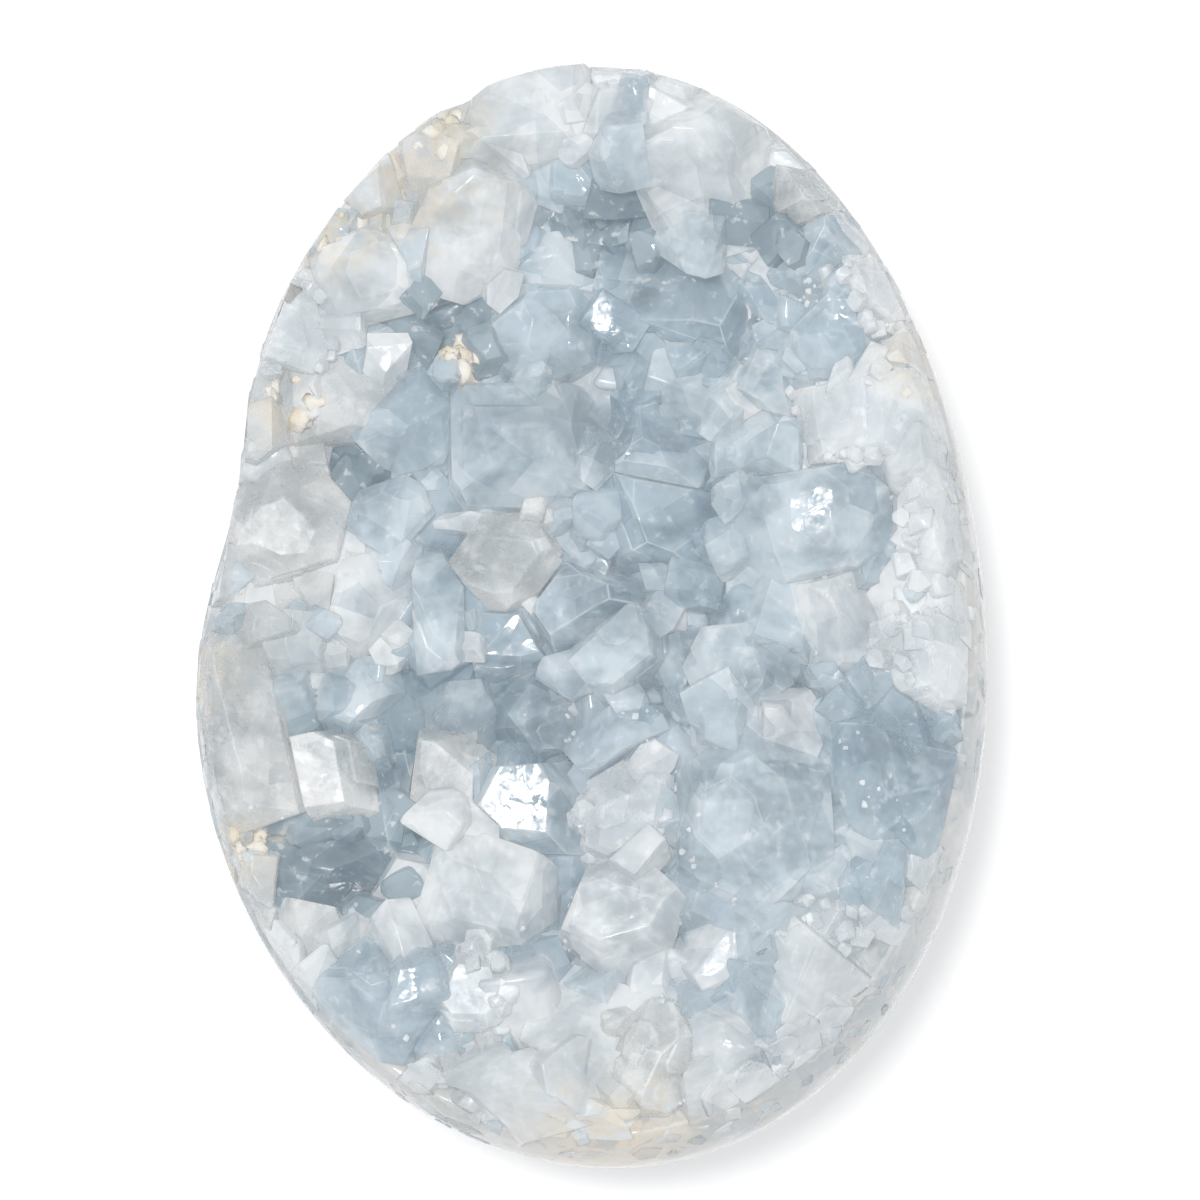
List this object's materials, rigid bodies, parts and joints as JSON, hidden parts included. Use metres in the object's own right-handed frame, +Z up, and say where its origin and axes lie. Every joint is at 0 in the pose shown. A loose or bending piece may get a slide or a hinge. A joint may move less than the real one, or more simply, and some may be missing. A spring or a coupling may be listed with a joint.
{
  "type": "crystal geode",
  "caption": "Egg-shaped celestite geode with a polished outside, its open face lined with blocky pale blue crystals; a mineral display piece.",
  "frame": {"origin": "on the ground flat of the back, under the middle of the outline", "axes": "+Z up out of the crystal face, +Y along the egg towards its narrow end, +X to the right as one looks down on the crystals"},
  "size_m": [0.0858, 0.12, 0.0551],
  "materials": {
    "polished_wall": "polished",
    "pale_celestite": "clear to milky",
    "blue_celestite": "clear",
    "deep_celestite": "clear",
    "frosted_celestite": "frosted",
    "warm_celestite": "milky"
  },
  "bodies": {
    "root": {"polished_wall": "polished_wall", "crown_crystal": "pale_celestite", "brow_crystal": "pale_celestite", "great_brow_crystal": "pale_celestite", "tumbled_crystal": "pale_celestite", "upper_left_crystal": "pale_celestite", "tall_block_crystal": "pale_celestite", "right_chisel_crystal": "pale_celestite", "right_small_crystal": "pale_celestite", "right_lens_crystal": "pale_celestite", "left_ring_crystal": "pale_celestite", "pale_wedge_crystal": "pale_celestite", "oval_crystal": "pale_celestite", "right_wedge_crystal": "pale_celestite", "left_mass_crystal": "pale_celestite", "left_inner_crystal": "pale_celestite", "upright_plate_crystal": "pale_celestite", "great_hexagon_crystal": "pale_celestite", "mirror_face_crystal": "pale_celestite", "lower_left_crystal": "pale_celestite", "lower_middle_crystal": "pale_celestite", "brow_step_crystal": "blue_celestite", "shoulder_long_crystal": "blue_celestite", "dome_crystal": "blue_celestite", "notched_crystal": "blue_celestite", "left_hexagon_crystal": "blue_celestite", "fan_crystal": "blue_celestite", "white_edge_crystal": "blue_celestite", "blue_diamond_crystal": "blue_celestite", "right_lower_crystal": "blue_celestite", "left_lower_crystal": "blue_celestite", "clear_knot_crystal": "blue_celestite", "round_back_crystal": "blue_celestite", "lower_blue_crystal": "blue_celestite", "deep_well_crystal": "deep_celestite", "cave_crystal": "deep_celestite", "left_recess_crystal": "deep_celestite", "upper_blue_crystal": "deep_celestite", "right_blue_crystal": "deep_celestite", "middle_wedge_crystal": "deep_celestite", "dark_wedge_crystal": "deep_celestite", "diamond_foot_crystal": "deep_celestite", "right_deep_crystal": "deep_celestite", "dark_hollow_crystal": "deep_celestite", "dark_upright_crystal": "deep_celestite", "shoulder_white_crystal": "frosted_celestite", "far_left_crystal": "frosted_celestite", "right_pale_crystal": "frosted_celestite", "right_rim_crystal": "frosted_celestite", "right_block_crystal": "frosted_celestite", "fang_crystal": "frosted_celestite", "granular_crystal": "frosted_celestite", "white_hexagon_crystal": "frosted_celestite", "shoulder_stub_crystal": "warm_celestite", "middle_pale_crystal": "warm_celestite", "left_round_crystal": "warm_celestite", "leaf_crystal": "warm_celestite", "cream_block_crystal": "warm_celestite", "flat_face_crystal": "warm_celestite", "grey_drop_crystal": "warm_celestite"}
  },
  "joints": []
}
